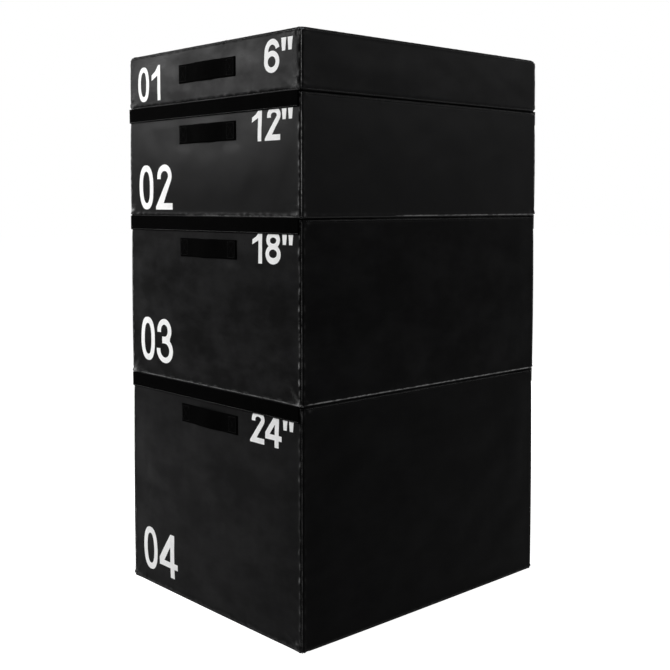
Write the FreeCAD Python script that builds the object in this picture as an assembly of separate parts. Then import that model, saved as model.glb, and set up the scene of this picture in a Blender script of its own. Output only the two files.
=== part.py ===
import FreeCAD, Part
import math
import os

# A stack of four foam plyo boxes in zipped vinyl covers, tied to each other by hook flaps.
# Lengths are in millimetres. +Z is up, the numbered fronts face -Y, and the origin is on the
# floor under the middle of the stack.

# Boxes: 01 is on top and 04 stands on the floor
height_01 = 152.4
height_02 = 304.8
height_03 = 457.2
height_04 = 609.6
box_width = 762.0
box_depth = 914.4
edge_radius = 10.0

# Cover and foam
vinyl_thickness = 1.0
foam_clearance = 0.7

# Carry handles: straps sewn down at both ends, with the middle bowed out for the fingers
handle_length = 250.0
handle_width = 50.0
handle_thickness = 2.5
handle_sewn_end = 40.0
handle_bow = 10.0
handle_drop_01 = 47.0
handle_drop = 57.0

# Hook flaps, the loop strips that they close on, and the hems that carry them
flap_height = 38.0
flap_thickness = 2.0
flap_side_margin = 6.0
flap_pivot_rise = 1.0
loop_thickness = 1.5
hem_thickness = 1.2
running_gap = 0.3

# Zip, along the foot of the rear panel
zip_rise = 28.0
zip_end_margin = 60.0
tape_width = 14.0
tape_thickness = 0.8
tape_end_overlap = 8.0
coil_width = 6.0
coil_height = 1.8
coil_seat = 1.0
coil_stop_length = 5.0
slider_length = 16.0
slider_wall = 1.3
bridge_length = 13.0
bridge_width = 2.0
bridge_bar = 1.4
pull_length = 34.0
pull_width = 8.0
pull_pin_radius = 0.8
pull_window_clearance = 3.0

# One overrun serves all cuts
cut_overrun = 5.0

# Worked out from the sizes above
half_width = box_width / 2
half_depth = box_depth / 2
foam_slack = tape_thickness + foam_clearance
flap_pivot_out = loop_thickness + running_gap + flap_thickness / 2
seam_inset = edge_radius * (1 - math.sqrt(0.5))
zip_half_length = half_width - zip_end_margin
coil_top = coil_height - vinyl_thickness
slider_inner = coil_width / 2 + running_gap
slider_outer = slider_inner + slider_wall
slot_half_width = slider_outer + running_gap
coil_half_length = zip_half_length - slot_half_width
slider_foot = running_gap - vinyl_thickness
slider_roof = coil_top + running_gap
slider_top = slider_roof + slider_wall
pull_axis_out = slider_top + running_gap + pull_pin_radius
slider_rest_x = coil_half_length - coil_stop_length - slider_length / 2 - running_gap

box_heights = {"01": height_01, "02": height_02, "03": height_03, "04": height_04}
box_bases = {
    "04": 0.0,
    "03": height_04,
    "02": height_04 + height_03,
    "01": height_04 + height_03 + height_02,
}
handle_drops = {"01": handle_drop_01, "02": handle_drop, "03": handle_drop, "04": handle_drop}
sides = {"front": -1, "rear": 1}

V = FreeCAD.Vector


def rounded_block(width, depth, bottom, top, radius):
    """A block about the stack's axis, with every edge rounded alike."""
    block = Part.makeBox(width, depth, top - bottom, V(-width / 2, -depth / 2, bottom))
    return block.makeFillet(radius, block.Edges)


def box_between(low, high):
    """A box from its lowest to its highest corner."""
    size = [b - a for a, b in zip(low, high)]
    return Part.makeBox(size[0], size[1], size[2], V(*low))


def mitre_wedge(low, high, axis, at_high):
    """The space of one cover panel, which narrows inward at 45 degrees from the box's edges."""
    first, second = [other for other in range(3) if other != axis]
    rings = []
    for inset in (-cut_overrun, edge_radius):
        corners = []
        for u, v in ((0, 0), (1, 0), (1, 1), (0, 1)):
            point = [0.0, 0.0, 0.0]
            point[axis] = high[axis] - inset if at_high else low[axis] + inset
            point[first] = high[first] - inset if u else low[first] + inset
            point[second] = high[second] - inset if v else low[second] + inset
            corners.append(V(*point))
        rings.append(Part.makePolygon(corners + corners[:1]))
    return Part.makeLoft(rings, True, True)


def section_along_x(points_out_up, side, base, half_length):
    """A closed outline in (out from the face, up from the base), extruded along the box's width."""
    edges = []
    for step in points_out_up:
        places = [V(-half_length, side * (half_depth + out), base + up) for out, up in step]
        if len(places) == 2:
            edges.append(Part.makeLine(*places))
        else:
            edges.append(Part.Arc(*places).toShape())
    return Part.Face(Part.Wire(edges)).extrude(V(2 * half_length, 0, 0))


def loop_of_lines(points):
    return [(a, b) for a, b in zip(points, points[1:] + points[:1])]


def make_cover(base, height):
    """The six panels of one cover, which meet in mitred seams along the box's edges."""
    outer = rounded_block(box_width, box_depth, base, base + height, edge_radius)
    inner = rounded_block(
        box_width - 2 * vinyl_thickness,
        box_depth - 2 * vinyl_thickness,
        base + vinyl_thickness,
        base + height - vinyl_thickness,
        edge_radius - vinyl_thickness,
    )
    shell = outer.cut(inner)
    low = (-half_width, -half_depth, base)
    high = (half_width, half_depth, base + height)
    panels = {}
    for name, axis, at_high in (
        ("left", 0, False),
        ("right", 0, True),
        ("front", 1, False),
        ("rear", 1, True),
        ("bottom", 2, False),
        ("top", 2, True),
    ):
        panels[name] = shell.common(mitre_wedge(low, high, axis, at_high)).Solids[0]
    return outer, panels


def make_foam(base, height):
    """The foam stands on the bottom panel, with slack to the other panels."""
    slack = 2 * (vinyl_thickness + foam_slack)
    return rounded_block(
        box_width - slack,
        box_depth - slack,
        base + vinyl_thickness,
        base + height - vinyl_thickness - foam_slack,
        edge_radius - vinyl_thickness,
    )


def make_handle(side, top):
    """A strap of webbing, flat where it is sewn down and bowed between."""
    half = handle_length / 2
    bowed = half - handle_sewn_end

    def place(along, out):
        return V(along, side * (half_depth + out), top - handle_width)

    inner_bow = Part.Arc(place(-bowed, 0), place(0, handle_bow), place(bowed, 0))
    outer_bow = Part.Arc(
        place(bowed, handle_thickness),
        place(0, handle_bow + handle_thickness),
        place(-bowed, handle_thickness),
    )
    edges = [
        Part.makeLine(place(-half, 0), place(-bowed, 0)),
        inner_bow.toShape(),
        Part.makeLine(place(bowed, 0), place(half, 0)),
        Part.makeLine(place(half, 0), place(half, handle_thickness)),
        Part.makeLine(place(half, handle_thickness), place(bowed, handle_thickness)),
        outer_bow.toShape(),
        Part.makeLine(place(-bowed, handle_thickness), place(-half, handle_thickness)),
        Part.makeLine(place(-half, handle_thickness), place(-half, 0)),
    ]
    return Part.Face(Part.Wire(edges)).extrude(V(0, 0, handle_width))


def make_loop_strip(side, top):
    """The loop strip lies on the flat of the face, below the rounded top edge."""
    faces = sorted((side * half_depth, side * (half_depth + loop_thickness)))
    half = half_width - edge_radius
    return box_between((-half, faces[0], top - flap_height), (half, faces[1], top - edge_radius))


def make_flap(side, base):
    """A hook flap that hangs from the box's bottom edge, with a rounded upper end at its pivot."""
    inner = flap_pivot_out - flap_thickness / 2
    outer = flap_pivot_out + flap_thickness / 2
    crown = flap_pivot_rise + flap_thickness / 2
    outline = [
        ((inner, flap_pivot_rise), (flap_pivot_out, crown), (outer, flap_pivot_rise)),
        ((outer, flap_pivot_rise), (outer, -flap_height)),
        ((outer, -flap_height), (inner, -flap_height)),
        ((inner, -flap_height), (inner, flap_pivot_rise)),
    ]
    return section_along_x(outline, side, base, half_width - flap_side_margin)


def make_hem(side, base, outer_block):
    """A strip sewn into the bottom edge's seam, which reaches out to the flap's rounded end."""
    run_out = flap_pivot_out + seam_inset
    run_up = flap_pivot_rise - seam_inset
    run = math.hypot(run_out, run_up)
    along = (run_out / run, run_up / run)
    across = (-along[1] * hem_thickness / 2, along[0] * hem_thickness / 2)
    root = (-seam_inset - along[0] * cut_overrun, seam_inset - along[1] * cut_overrun)
    tip = (flap_pivot_out, flap_pivot_rise)
    corners = [
        (root[0] - across[0], root[1] - across[1]),
        (tip[0] - across[0], tip[1] - across[1]),
        (tip[0] + across[0], tip[1] + across[1]),
        (root[0] + across[0], root[1] + across[1]),
    ]
    half = half_width - edge_radius
    strip = section_along_x(loop_of_lines(corners), side, base, half)
    pivot = Part.makeCylinder(
        flap_thickness / 2 + running_gap,
        2 * (half + cut_overrun),
        V(-half - cut_overrun, side * (half_depth + flap_pivot_out), base + flap_pivot_rise),
        V(1, 0, 0),
    )
    return strip.cut(outer_block).cut(pivot).Solids[0]


def cut_zip_slot(panel, zip_z):
    """The slot in the rear panel, with round ends, in which the coil lies."""
    straight = zip_half_length - slot_half_width
    low = half_depth - vinyl_thickness - cut_overrun
    through = vinyl_thickness + 2 * cut_overrun
    slot = Part.makeBox(
        2 * straight, through, 2 * slot_half_width, V(-straight, low, zip_z - slot_half_width)
    )
    for end in (-straight, straight):
        slot = slot.fuse(Part.makeCylinder(slot_half_width, through, V(end, low, zip_z), V(0, 1, 0)))
    return panel.cut(slot).Solids[0]


def make_zip_tapes(zip_z):
    """The two tapes lie flat on the inside of the rear panel, either side of the coil's middle."""
    half = zip_half_length + tape_end_overlap
    back = half_depth - vinyl_thickness
    edge = coil_width / 2 - coil_seat
    upper = box_between(
        (-half, back - tape_thickness, zip_z + edge), (half, back, zip_z + edge + tape_width)
    )
    lower = box_between(
        (-half, back - tape_thickness, zip_z - edge - tape_width), (half, back, zip_z - edge)
    )
    return [upper, lower]


def make_zip_coil(zip_z):
    """The closed coil lies on both tapes, with a wider stop at each end."""
    back = half_depth - vinyl_thickness
    front = half_depth + coil_top
    half = coil_width / 2
    coil = box_between(
        (-coil_half_length, back, zip_z - half), (coil_half_length, front, zip_z + half)
    )
    stop_half = slider_inner + slider_wall / 2
    for start in (-coil_half_length, coil_half_length - coil_stop_length):
        coil = coil.fuse(
            box_between(
                (start, back, zip_z - stop_half), (start + coil_stop_length, front, zip_z + stop_half)
            )
        )
    return coil.removeSplitter().Solids[0]


def make_zip_slider(zip_z):
    """A channel that straddles the coil, with a bridge on top for the pull."""
    half = slider_length / 2
    low_x = slider_rest_x - half
    high_x = slider_rest_x + half
    body = box_between(
        (low_x, half_depth + slider_foot, zip_z - slider_outer),
        (high_x, half_depth + slider_top, zip_z + slider_outer),
    )
    channel = box_between(
        (low_x - cut_overrun, half_depth + slider_foot - cut_overrun, zip_z - slider_inner),
        (high_x + cut_overrun, half_depth + slider_roof, zip_z + slider_inner),
    )
    bridge_half = bridge_length / 2
    bridge_foot = half_depth + slider_top
    bridge_inside = bridge_foot + 2 * (pull_pin_radius + running_gap)
    bridge = box_between(
        (slider_rest_x - bridge_half, bridge_foot, zip_z - bridge_width / 2),
        (slider_rest_x + bridge_half, bridge_inside + bridge_bar, zip_z + bridge_width / 2),
    )
    eye_half = bridge_half - bridge_bar
    eye = box_between(
        (slider_rest_x - eye_half, bridge_foot, zip_z - bridge_width),
        (slider_rest_x + eye_half, bridge_inside, zip_z + bridge_width),
    )
    return body.cut(channel).fuse(bridge.cut(eye)).removeSplitter().Solids[0]


def make_zip_pull(zip_z):
    """A flat tab with a window round the bridge, and a pin under the bridge that it turns on."""
    axis_y = half_depth + pull_axis_out
    half = pull_width / 2
    tab = box_between(
        (slider_rest_x - pull_length, axis_y - pull_pin_radius, zip_z - half),
        (slider_rest_x, axis_y + pull_pin_radius, zip_z + half),
    )
    end_edges = [
        edge
        for edge in tab.Edges
        if abs(edge.CenterOfMass.x - tab.BoundBox.XMin) < pull_pin_radius
        and edge.BoundBox.YLength > pull_pin_radius
    ]
    tab = tab.makeFillet(half / 2, end_edges)
    eye_half = bridge_width / 2 + running_gap
    window = box_between(
        (
            slider_rest_x - bridge_length / 2 - pull_window_clearance,
            axis_y - pull_pin_radius - cut_overrun,
            zip_z - eye_half,
        ),
        (slider_rest_x + cut_overrun, axis_y + pull_pin_radius + cut_overrun, zip_z + eye_half),
    )
    pin = Part.makeCylinder(
        pull_pin_radius, pull_width, V(slider_rest_x, axis_y, zip_z - half), V(0, 0, 1)
    )
    return tab.cut(window).fuse(pin).removeSplitter().Solids[0]


def make_nodes():
    nodes = {}
    for number, height in box_heights.items():
        base = box_bases[number]
        top = base + height
        zip_z = base + zip_rise
        outer_block, panels = make_cover(base, height)
        nodes["foam_core_" + number] = [make_foam(base, height)]
        nodes["cover_top_" + number] = [panels["top"]]
        nodes["cover_bottom_" + number] = [panels["bottom"]]
        nodes["cover_front_" + number] = [panels["front"]]
        nodes["cover_rear_" + number] = [cut_zip_slot(panels["rear"], zip_z)]
        nodes["cover_sides_" + number] = [panels["left"], panels["right"]]
        for name, side in sides.items():
            nodes["handle_" + name + "_" + number] = [make_handle(side, top - handle_drops[number])]
        nodes["zip_tapes_" + number] = make_zip_tapes(zip_z)
        nodes["zip_coil_" + number] = [make_zip_coil(zip_z)]
        nodes["zip_slider_" + number] = [make_zip_slider(zip_z)]
        nodes["zip_pull_" + number] = [make_zip_pull(zip_z)]
        if base > 0:
            nodes["flap_hems_" + number] = [make_hem(side, base, outer_block) for side in sides.values()]
            for name, side in sides.items():
                nodes["hook_flap_" + name + "_" + number] = [make_flap(side, base)]
        if number != "01":
            nodes["loop_strips_" + number] = [make_loop_strip(side, top) for side in sides.values()]
    return nodes


os.makedirs("parts", exist_ok=True)
for node, solids in make_nodes().items():
    shape = solids[0] if len(solids) == 1 else Part.makeCompound(solids)
    if not all(solid.isValid() and solid.Volume > 0 for solid in solids):
        raise ValueError(node + " is not a valid solid")
    shape.exportStep("parts/" + node + ".step")
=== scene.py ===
"""Dresses a packed stack of four foam plyo boxes in sewn vinyl, webbing, hook flaps, zips and print."""

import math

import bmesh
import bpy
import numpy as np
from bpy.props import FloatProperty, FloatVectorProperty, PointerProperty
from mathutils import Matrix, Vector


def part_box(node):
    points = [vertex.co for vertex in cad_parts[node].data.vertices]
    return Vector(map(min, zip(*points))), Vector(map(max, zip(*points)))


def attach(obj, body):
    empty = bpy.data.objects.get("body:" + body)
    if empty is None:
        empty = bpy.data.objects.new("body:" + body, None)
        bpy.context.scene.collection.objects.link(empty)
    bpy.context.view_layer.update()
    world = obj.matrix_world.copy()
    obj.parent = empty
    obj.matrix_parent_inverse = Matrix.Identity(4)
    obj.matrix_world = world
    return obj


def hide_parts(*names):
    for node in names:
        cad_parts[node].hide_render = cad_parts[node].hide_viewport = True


bl_info = {
    "name": "Plyo Box Stack",
    "version": (1, 0, 0),
    "blender": (4, 5, 0),
    "location": "View3D > Sidebar > Plyo Box",
    "description": "Builds the sewn covers, handles, flaps, zips and print of a stack of plyo boxes",
    "category": "Add Mesh",
}

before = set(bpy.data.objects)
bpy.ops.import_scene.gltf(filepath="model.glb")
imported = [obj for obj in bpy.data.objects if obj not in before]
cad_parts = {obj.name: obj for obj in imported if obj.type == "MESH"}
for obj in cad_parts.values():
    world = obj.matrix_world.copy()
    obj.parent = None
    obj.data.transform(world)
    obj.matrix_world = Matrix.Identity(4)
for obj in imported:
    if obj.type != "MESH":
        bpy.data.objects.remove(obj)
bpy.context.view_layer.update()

MM = 0.001
INCH = 25.4 * MM
TINY = 1e-6

# Boxes from the floor up, those that a flap hangs from and those that a flap closes on
BOXES = ("04", "03", "02", "01")
FLOOR_BOX, TOP_BOX = BOXES[0], BOXES[-1]
FLAPPED = BOXES[1:]
LOOPED = BOXES[:-1]
SIDES = {"front": -1, "rear": 1}

# The two axes across each axis
ACROSS = ((1, 2), (0, 2), (0, 1))

# Mesh lines of a cover: distances from each edge, then an even step between
EDGE_LINES = np.array([0, 1.0, 2.0, 3.2, 4.6, 6.2, 8.0, 10.0, 12.5, 15.5, 19.0, 23.5]) * MM
COVER_STEP = 7 * MM
LINE_SPACING = 0.6 * MM
LINE_DIGITS = 7

# Sewn edges of a cover, measured over the panel from the edge
SEAM_REACH = 90 * MM
WELT_WIDTH = 1.2 * MM
GROOVE_AWAY = 3.3 * MM
GROOVE_WIDTH = 1.4 * MM
RIDGE_AWAY = 8.5 * MM
RIDGE_WANDER = 1.6 * MM
RIDGE_WIDTH = 3.4 * MM
PUCKER_REACH = 20 * MM
CORNER_AWAY = 17 * MM
CORNER_WIDTH = 11 * MM
FREE_AWAY = 45 * MM

# How much of the sewn detail and of the cloudy sheen, which is partly painted into the colour, the other
# panels have, against the front and rear
SIDE_PANEL_SHARE = 0.55
LEVEL_PANEL_SHARE = 0.4
SIDE_CLOUD_SHARE = 0.3

# Random waves: shortest, longest, how many, and for those in space how far they lean along each axis
WAVE_GAIN = 1.6
ROLL_WAVES = (19 * MM, 47 * MM, 4)
GATHER_WAVES = (11 * MM, 26 * MM, 4)
WANDER_WAVES = (60 * MM, 160 * MM, 3)
STRAP_WAVES = (40 * MM, 110 * MM, 4)
SLACK_WAVES = (70 * MM, 200 * MM, 9, (0.35, 0.35, 1))
DIMPLE_WAVES = (38 * MM, 95 * MM, 12, (0.7, 0.7, 1))
FOLD_WAVES = (13 * MM, 26 * MM, 5, (1, 1, 1))
COVER_SEED = 700
STRAP_SEED = 40

# Middle and swing of the shares that waves along a seam turn into
ROLL_SHARES = (0.62, 0.5)
PUCKER_SHARES = (0.5, 0.7)
# GLOSS_SHARES turn the roll's waves into painted highlights on it
GLOSS_SHARES = (-0.7, 1.6)

# Folds that fan out from a panel's lower corners
CREASE_WIDTH = 6.5 * MM
CREASE_START = 14 * MM
CREASE_REACHES = (50 * MM, 105 * MM)
CREASE_TURNS = (9, 27, 52)
CREASE_TURN_SPREAD = 6
CREASE_GAIN = 1.6

# Painted highlights along the sewn edges: a bright line on the seam itself, glinting spots on the roll
# beside it, and glints on fold crests at the corners
LINE_WIDTH = 1.2 * MM
LINE_FADE = 60 * MM
FOOT_LINE_AWAY = 4.6 * MM
GLINT_WIDTH = 2.0 * MM
FAINT_LINE = 0.1
FAINT_SPOTS = 0.08
FOOT_SPOT_SHARE = 0.25
CREASE_GLINT = 0.15
PANEL_GLINT_POWER = 4
UPRIGHT_LINES = {"01": 2.4, "02": 2.4, "03": 0.5, "04": 0.3}
SPOTS = {"01": 0.8, "02": 0.9, "03": 0.9, "04": 0.45}
CORNER_GLINTS = {"01": 1.8, "02": 1.6, "03": 1.4, "04": 1.0}

# Strength of the painted bright line along each foot, and the share of the edge that it leaves out
FOOT_LINES = {"01": (0.1, 0), "02": (2.2, 0.35), "03": (6.5, 0), "04": (0.1, 0)}

# Slack vinyl, settled as cloth over the foam
CAGE_STEP = 12 * MM
CLOTH_STEPS = 16
START_WAVE = 0.5 * MM
SPARE_HEIGHT_SHARE = 0.0012
MOST_OUT = 2.6 * MM
MOST_IN = 0.9 * MM
SEWN_BELOW_SHARE = 0.5
# How slack each box's vinyl is; this also sets how much painted sheen its panels get
SLACK_SHARES = {"01": 0.9, "02": 0.25, "03": 1.0, "04": 0.55}
CLOTH = {
    "quality": 4,
    "mass": 0.6,
    "tension_stiffness": 40,
    "compression_stiffness": 40,
    "shear_stiffness": 20,
    "bending_stiffness": 15,
    "bending_damping": 2,
    "tension_damping": 10,
    "compression_damping": 10,
    "air_damping": 4,
    "pin_stiffness": 10,
    "use_pressure": True,
    "uniform_pressure_force": 0.05,
}

# Where a cover is held flat, lies on something or is open for its zip
HELD_MARGIN = 14 * MM
STACK_INSET = 0.4 * MM
STACK_SAG_SHARE = 0.3
SLOT_DEPTH = 2.4 * MM
SLOT_WALL = 0.7 * MM
SLOT_HALF = 4.9 * MM
SLOT_END_AWAY = 8 * MM

# Boxes whose two sides get painted shade from a darker, less glossy copy of the vinyl, and for each copy the
# brightness and gloss of vinyl that lies flat
SHADED_SIDES = ("04", "03")
USUAL_VINYL = {"name": "black_vinyl", "calm": 0.5, "specular": 0.018}
SHADED_VINYL = {"name": "dim_vinyl", "calm": 0.2, "specular": 0.011}

# Patterns: how far the vinyl's clouds are drawn out, the share of its fine ones, and the width in metres
# of one band of Blender's wave texture at a scale of 1
CLOUD_STRETCH = (0.55, 0.55, 1)
DAPPLE_SHARE = 0.8
WAVE_BAND = 0.314

# What faint clouds take from a roughness and add to it
WOVEN_ROUGHNESS_SWING = (-0.06, 0.06)
PLAIN_ROUGHNESS_SWING = (-0.05, 0.07)

# Foam cores, with the rise and inset of each cut that forms the groove of a glue line
FOAM_SLAB = 3 * INCH
FOAM_INSET = 5 * MM
FOAM_CORNER = 6 * MM
GLUE_LINE = ((-1.2 * MM, 0), (0, 0.8 * MM), (1.2 * MM, 0))

# Rows of thread
SEAM_ROW_AWAY = 2.7 * MM
SEAM_ROW_END = 16 * MM
SEAM_ROW_OUT = 0.1 * MM
FLAP_ROW_AWAY = 2.5 * MM
HANDLE_ROW_AWAY = 5 * MM
HANDLE_ROW_OUT = 2.7 * MM

# Print: its strokes and stretch, where it stands on each box, and how it follows the vinyl
NUMBER_STROKE_SHARE = 0.143
INCH_STROKE_SHARE = 0.172
INCH_STRETCH_SHARE = 1.07
NUMBER_FEET = {"01": 19 * MM, "02": 20 * MM, "03": 45 * MM, "04": 40 * MM}
INCH_DROPS = {"01": 103 * MM, "02": 114 * MM, "03": 113 * MM, "04": 113 * MM}
FLAP_CLEARANCE = 0.5 * MM
PRINT_STEP = 9 * MM
PRINT_JOINED = 0.05 * MM
INK_SUNK = 0.1 * MM
ARC_STEP = 10

# Straps: mesh steps along and across, then how wide a thin edge, how long a thin end and how much is lost
HANDLE_STEPS = (84, 10)
HANDLE_EDGE_SHARES = (0.06, 0.008, 0.35)
HANDLE_THICKNESS = 2.5 * MM
HANDLE_SEWN = 40 * MM
HANDLE_SWAY = 0.6 * MM
HANDLE_CLEARANCE = 0.15 * MM
FLAP_STEPS = (150, 12)
FLAP_EDGE_SHARES = (0.05, 0.004, 0.3)
FACING_SHARE = 0.5

# How far a slack handle stands off its box, as a share of the room that its solid takes up
HANDLE_BOW_SHARE = 0.5

# Turns of a zip's coil
TOOTH_LENGTH_SHARE = 0.42
TOOTH_HALF = 1.9 * MM
TOOTH_SHIFT = 1.1 * MM

# Softboxes: the value that sets the power, the width, the place and the point each one is turned to
SOFTBOXES = {
    "key_softbox": ("key_power", 1.4, (-2.35, -2.3, 2.2), (0, -0.3, 1.0)),
    "rear_softbox": ("fill_power", 2.8, (-1.9, 3.0, 2.6), (0, 0.3, 0.8)),
    "side_softbox": ("side_power", 1.2, (2.9, 2.7, 2.3), (0.3, 0, 1.1)),
    "right_softbox": ("right_power", 1.8, (4.6, 0.9, 2.2), (0.3, 0, 0.9)),
}

# Floor and camera, with its turns in degrees
FLOOR_GREY = 0.5
FLOOR_GLOW = 0.928
CAMERA_PLACE = (2.2918, -2.1038, 1.1037)
CAMERA_DOWN = 4
CAMERA_TURN = 47.43
CAMERA_SHIFT = -0.0861
SENSOR_WIDTH = 36


def size(name, text, millimetres):
    """A length that a user can change."""
    length = millimetres * MM
    return FloatProperty(name=name, description=text, default=length, unit="LENGTH", precision=4)


def power(name, text, watts):
    """A light's power that a user can change."""
    return FloatProperty(name=name, description=text, default=watts, unit="POWER")


def paint(name, text, colour):
    """A colour that a user can change."""
    return FloatVectorProperty(
        name=name, description=text, default=colour, size=3, min=0, max=1, subtype="COLOR"
    )


class PLYO_PG_cover(bpy.types.PropertyGroup):
    """The sewn vinyl covers."""

    top_radius: size("Top Edge Radius", "Rounding of a cover's upper edges", 13)
    foot_radius: size("Foot Edge Radius", "Rounding of a cover's lower edges", 8)
    first_top_radius: size("Top Box Top Radius", "Rounding of the top box's upper edges", 18)
    first_foot_radius: size("Top Box Foot Radius", "Rounding of the top box's lower edges", 14)
    floor_radius: size("Floor Box Foot Radius", "Rounding of the lowest box's lower edges", 4)
    crown: size("Crown", "How far the middle of a panel stands out", 1.6)
    wave: size("Wave", "Height of the soft waves in panels that aren't settled as cloth", 1.1)
    dimple: size("Dimple", "Height of the small dimples in the panels", 0.42)
    welt: size("Welt", "How far the sewn edge stands out", 0.9)
    groove: size("Groove", "Depth of the line where the thread pulls the vinyl in", 1.1)
    ridge: size("Ridge", "Height of the uneven roll beside a seam", 1.2)
    pucker: size("Pucker", "Height of the short wrinkles that run off a seam", 0.75)
    corner_fold: size("Corner Fold", "Height of the folds gathered at a corner", 1.0)
    crease: size("Crease", "Height of the folds that fan out from a lower corner", 1.5)
    vinyl: paint("Vinyl", "Colour of the vinyl", (0.0031, 0.0031, 0.0032))
    # Colour painted as highlights along the seams, folds and corners
    worn: paint("Highlight Vinyl", "Colour of rubbed vinyl along the sewn edges", (0.28, 0.28, 0.28))
    foam: paint("Foam", "Colour of the foam core", (0.16, 0.17, 0.18))


class PLYO_PG_print(bpy.types.PropertyGroup):
    """The printed numbers."""

    ink: paint("Ink", "Colour of the print", (0.93, 0.93, 0.925))
    ink_thickness: size("Ink Thickness", "How far the print stands off the vinyl", 0.3)
    first_height: size("Top Box Number", "Height of the number on the top box", 97)
    number_height: size("Box Number", "Height of the numbers on the other boxes", 125)
    inch_height: size("Height Number", "Height of the numbers that give each box's height", 82)
    number_left: size("Number Margin", "From the left edge of a box to its number", 52)
    inch_right: size("Height Margin", "From the right edge of a box to its height number", 30)


class PLYO_PG_trim(bpy.types.PropertyGroup):
    """Thread, webbing, hook flaps and zips."""

    stitch_pitch: size("Stitch Pitch", "From one stitch to the next", 6)
    stitch_length: size("Stitch Length", "Length of a stitch that shows", 4.4)
    thread_width: size("Thread", "Thickness of the thread", 0.9)
    tooth_pitch: size("Zip Pitch", "From one turn of the zip's coil to the next", 2.4)
    thread: paint("Thread Colour", "Colour of the thread", (0.05, 0.05, 0.05))
    webbing: paint("Webbing", "Colour of the handles and flaps", (0.0016, 0.0016, 0.0016))
    metal: paint("Zip Paint", "Colour of the painted zip slider", (0.02, 0.02, 0.021))


class PLYO_PG_stage(bpy.types.PropertyGroup):
    """Floor, light and camera."""

    floor_width: FloatProperty(
        name="Floor", description="Width of the floor", default=60, unit="LENGTH"
    )
    key_power: power("Key Light", "Power of the large front light", 120)
    fill_power: power("Fill Light", "Power of the rear light", 110)
    side_power: power("Side Light", "Power of the side light", 22)
    right_power: power("Right Light", "Power of the right light", 55)
    ambient: FloatProperty(
        name="Ambient", description="Strength of the even light from all round",
        default=0.15, min=0, max=1, subtype="FACTOR",
    )
    lens: FloatProperty(
        name="Lens", description="Focal length of the camera", default=56.72, subtype="DISTANCE_CAMERA"
    )


def settings():
    """This scene's own values."""
    return bpy.context.scene.plyo


def panels_of(number):
    """Names of the solids of one box's cover panels."""
    return [f"cover_{panel}_{number}" for panel in ("top", "bottom", "front", "rear", "sides")]


def block_of(number):
    """Lowest and highest corner of one box's square-edged block, from its cover panels."""
    top, bottom, front, rear, sides = [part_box(panel) for panel in panels_of(number)]
    low = np.array([sides[0].x, front[0].y, bottom[0].z])
    high = np.array([sides[1].x, rear[1].y, top[1].z])
    return low, high


def bell(distance, width):
    """A smooth bump, 1 at no distance."""
    return np.exp(-((distance / width) ** 2))


def uneven(height, middle, swing):
    """A share that follows a wave's height about a middle, never below 0."""
    return np.clip(middle + swing * height, 0, None)


class Ripple:
    """Waves of random length along one line, mostly between -1 and 1."""

    def __init__(self, rng, shortest, longest, count):
        self.turns = 2 * math.pi / rng.uniform(shortest, longest, count)
        self.phases = rng.uniform(0, 2 * math.pi, count)

    def height(self, along):
        return WAVE_GAIN * np.sin(np.outer(along, self.turns) + self.phases).mean(axis=1)


class WaveField:
    """Crossing waves of random direction in space, mostly between -1 and 1."""

    def __init__(self, rng, shortest, longest, count, lean):
        direction = rng.normal(size=(count, 3)) * lean
        direction /= np.linalg.norm(direction, axis=1, keepdims=True)
        self.turns = direction.T * (2 * math.pi / rng.uniform(shortest, longest, count))
        self.phases = rng.uniform(0, 2 * math.pi, count)

    def height(self, points):
        return WAVE_GAIN * np.sin(points @ self.turns + self.phases).mean(axis=1)


class Seam:
    """One sewn edge of a cover: the axis it runs along and the two panels that it joins."""

    def __init__(self, rng, number, low, high, axis, ends):
        self.axis = axis
        self.ends = ends
        self.line, self.line_away, self.line_start = FAINT_LINE, 0, low[axis]
        self.spots = FAINT_SPOTS
        if axis == 2:
            self.line, self.spots = UPRIGHT_LINES[number], SPOTS[number]
        elif (2, 0) in ends:
            self.line, start_share = FOOT_LINES[number]
            self.line_away = FOOT_LINE_AWAY
            self.line_start = low[axis] + start_share * (high[axis] - low[axis])
            self.spots = FOOT_SPOT_SHARE * SPOTS[number]
        self.roll = Ripple(rng, *ROLL_WAVES)
        self.gather = Ripple(rng, *GATHER_WAVES)
        self.wander = Ripple(rng, *WANDER_WAVES)

    def away(self, gaps):
        """Distance from the edge, measured over the square-edged block."""
        near = [gaps[end, :, axis] for axis, end in self.ends]
        return np.hypot(near[0], near[1])

    def profile(self, look, away, along, panel_share):
        """How far the vinyl stands out near this edge, and how much painted highlight it gets there."""
        wander = self.wander.height(along)
        roll = uneven(self.roll.height(along), *ROLL_SHARES)
        ridge_away = RIDGE_AWAY + RIDGE_WANDER * wander
        welt = look.welt * bell(away, WELT_WIDTH)
        groove = look.groove * bell(away - GROOVE_AWAY, GROOVE_WIDTH)
        ridge = look.ridge * roll * panel_share * bell(away - ridge_away, RIDGE_WIDTH)
        fade = bell(away, PUCKER_REACH) - bell(away, GROOVE_AWAY)
        reach = uneven(wander, *PUCKER_SHARES)
        pucker = look.pucker * panel_share * reach * fade * self.gather.height(along)
        # Painted highlight on the crests of the roll, kept mostly to the front and rear
        gloss = uneven(roll, *GLOSS_SHARES) * panel_share ** PANEL_GLINT_POWER
        # A painted bright line on the seam, and painted glinting spots on the roll beside it
        begun = np.clip((along - self.line_start) / LINE_FADE, 0, 1)
        painted_highlight = self.line * begun * bell(away - self.line_away, LINE_WIDTH)
        painted_highlight += self.spots * gloss * bell(away - ridge_away, GLINT_WIDTH)
        return welt - groove + ridge + pucker, painted_highlight


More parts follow.
